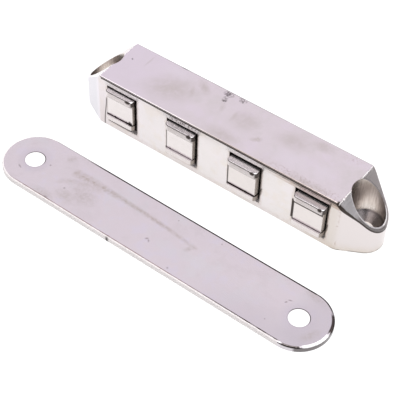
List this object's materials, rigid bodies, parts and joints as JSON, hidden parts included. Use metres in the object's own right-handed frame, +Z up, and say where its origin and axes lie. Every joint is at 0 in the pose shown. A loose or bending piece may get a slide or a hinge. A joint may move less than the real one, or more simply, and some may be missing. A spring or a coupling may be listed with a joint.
{
  "type": "magnetic catch",
  "caption": "Long nickel-plated magnetic catch housing with floating magnet packs in its front windows and screw ears, with its flat round-ended striker plate.",
  "frame": {"origin": "middle of the housing's base, on the face it is screwed down on", "axes": "+X along the housing, -Y the way the magnets face and towards the striker plate, +Z up from the base"},
  "size_m": [0.0922, 0.0449, 0.0154],
  "materials": {
    "plated_casting": "bright nickel plate on a zinc casting",
    "plated_strip": "bright nickel plate on steel strip",
    "cover_metal": "plain grey metal",
    "pole_steel": "nickel-plated steel",
    "magnet_block": "nickel-plated magnet"
  },
  "bodies": {
    "catch_body": {"housing": "plated_casting", "base_cover": "cover_metal", "striker_plate": "plated_strip"},
    "pack_1": {"lower_pole_1": "pole_steel", "magnet_1": "magnet_block", "upper_pole_1": "pole_steel"},
    "pack_2": {"lower_pole_2": "pole_steel", "magnet_2": "magnet_block", "upper_pole_2": "pole_steel"},
    "pack_3": {"lower_pole_3": "pole_steel", "magnet_3": "magnet_block", "upper_pole_3": "pole_steel"},
    "pack_4": {"lower_pole_4": "pole_steel", "magnet_4": "magnet_block", "upper_pole_4": "pole_steel"}
  },
  "joints": [
    {"name": "pack_1_float", "type": "slide", "parent": "catch_body", "child": "pack_1", "axis": [0, 1, 0], "range_m": [-0.0007, 0.0001]},
    {"name": "pack_2_float", "type": "slide", "parent": "catch_body", "child": "pack_2", "axis": [0, 1, 0], "range_m": [-0.0005, 0.0003]},
    {"name": "pack_3_float", "type": "slide", "parent": "catch_body", "child": "pack_3", "axis": [0, 1, 0], "range_m": [-0.0001, 0.0007]},
    {"name": "pack_4_float", "type": "slide", "parent": "catch_body", "child": "pack_4", "axis": [0, 1, 0], "range_m": [-0.00005, 0.00075]}
  ]
}
